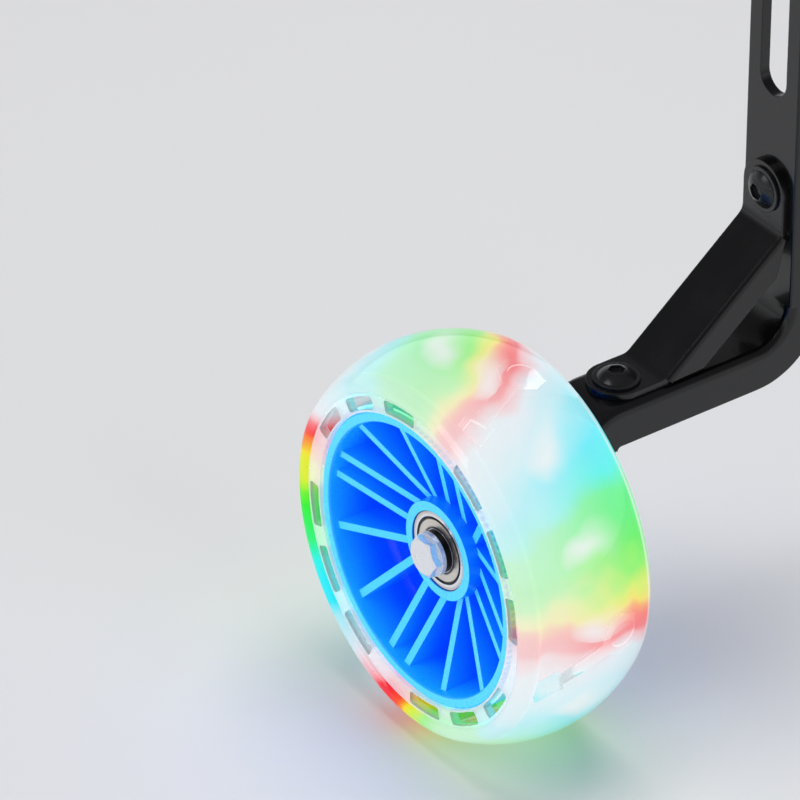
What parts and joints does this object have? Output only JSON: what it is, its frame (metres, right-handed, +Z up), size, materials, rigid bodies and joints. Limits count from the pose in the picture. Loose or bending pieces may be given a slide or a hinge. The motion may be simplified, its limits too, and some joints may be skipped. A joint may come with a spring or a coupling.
{
  "type": "bicycle training wheel",
  "caption": "Light-up training wheel for a child's bicycle: clear tyre over a ribbed blue hub, on a braced black steel bracket with an axle slot.",
  "frame": {"origin": "middle of the axle slot, on the inboard face of the strap", "axes": "+X along the bicycle, +Y inboard through the axle slot, +Z up; the wheel lies towards -Y and -Z"},
  "size_m": [0.1086, 0.1265, 0.2145],
  "materials": {
    "black_paint": "gloss black powder coat",
    "black_bolt": "black oxide, slightly glossy",
    "zinc": "bright zinc plate",
    "dark_steel": "dark oiled steel",
    "bearing_steel": "ground and polished bearing steel",
    "cage_steel": "pressed steel",
    "shield_steel": "satin pressed steel, warm tint",
    "magnet": "dark sintered ferrite",
    "bobbin_plastic": "natural nylon",
    "copper_wire": "enamelled copper wire",
    "hub_blue": "smooth moulded plastic, saturated blue",
    "clear_plastic": "clear moulded plastic",
    "clear_polyurethane": "clear cast polyurethane, lit from inside",
    "board": "white flexible circuit strip",
    "red_lamp": "lit red lamp",
    "green_lamp": "lit green lamp",
    "blue_lamp": "lit blue lamp",
    "lead": "thin insulated wire"
  },
  "bodies": {
    "bracket": {"bracket": "black_paint", "brace": "black_paint", "brace_bolts": "black_bolt", "brace_head_washers": "black_bolt", "brace_nut_washers": "black_bolt", "brace_nuts": "black_bolt", "axle_bolt": "zinc", "axle_head_washer": "zinc", "standoff_bush": "zinc", "plate_washer": "zinc", "spring_washer": "zinc", "lock_nut": "zinc", "bearing_spacer": "zinc", "axle_sleeve": "dark_steel", "generator_magnet": "magnet", "outboard_bearing_inner_race": "bearing_steel", "inboard_bearing_inner_race": "bearing_steel"},
    "wheel": {"tyre": "clear_polyurethane", "hub": "hub_blue", "outboard_bearing_outer_race": "bearing_steel", "inboard_bearing_outer_race": "bearing_steel", "light_ring": "clear_plastic", "lamp_holder_1": "clear_plastic", "lamp_holder_2": "clear_plastic", "lamp_holder_3": "clear_plastic", "lamp_holder_4": "clear_plastic", "outboard_bearing_outboard_shield": "shield_steel", "outboard_bearing_inboard_shield": "shield_steel", "inboard_bearing_outboard_shield": "shield_steel", "inboard_bearing_inboard_shield": "shield_steel", "coil_bobbin": "bobbin_plastic", "coil_winding": "copper_wire", "lamp_board_1": "board", "lamp_board_2": "board", "lamp_board_3": "board", "lamp_board_4": "board", "red_lamp_1": "red_lamp", "red_lamp_2": "red_lamp", "red_lamp_3": "red_lamp", "red_lamp_4": "red_lamp", "green_lamp_1": "green_lamp", "green_lamp_2": "green_lamp", "green_lamp_3": "green_lamp", "green_lamp_4": "green_lamp", "blue_lamp_1": "blue_lamp", "blue_lamp_2": "blue_lamp", "blue_lamp_3": "blue_lamp", "blue_lamp_4": "blue_lamp", "lamp_lead_1": "lead", "lamp_lead_2": "lead", "lamp_lead_3": "lead", "lamp_lead_4": "lead"},
    "outboard_cage": {"outboard_bearing_balls": "bearing_steel", "outboard_bearing_cage": "cage_steel"},
    "inboard_cage": {"inboard_bearing_balls": "bearing_steel", "inboard_bearing_cage": "cage_steel"}
  },
  "joints": [
    {"name": "wheel_spin", "type": "hinge", "parent": "bracket", "child": "wheel", "pos_m": [0, -0.0976, -0.1232], "axis": [0, 1, 0], "continuous": true},
    {"name": "outboard_cage_spin", "type": "hinge", "parent": "bracket", "child": "outboard_cage", "pos_m": [0, -0.0976, -0.1232], "axis": [0, 1, 0], "continuous": true},
    {"name": "inboard_cage_spin", "type": "hinge", "parent": "bracket", "child": "inboard_cage", "pos_m": [0, -0.0976, -0.1232], "axis": [0, 1, 0], "continuous": true}
  ],
  "couplings": [
    {"joint": "outboard_cage_spin", "follows": "wheel_spin", "ratio": 0.632},
    {"joint": "inboard_cage_spin", "follows": "wheel_spin", "ratio": 0.632}
  ]
}
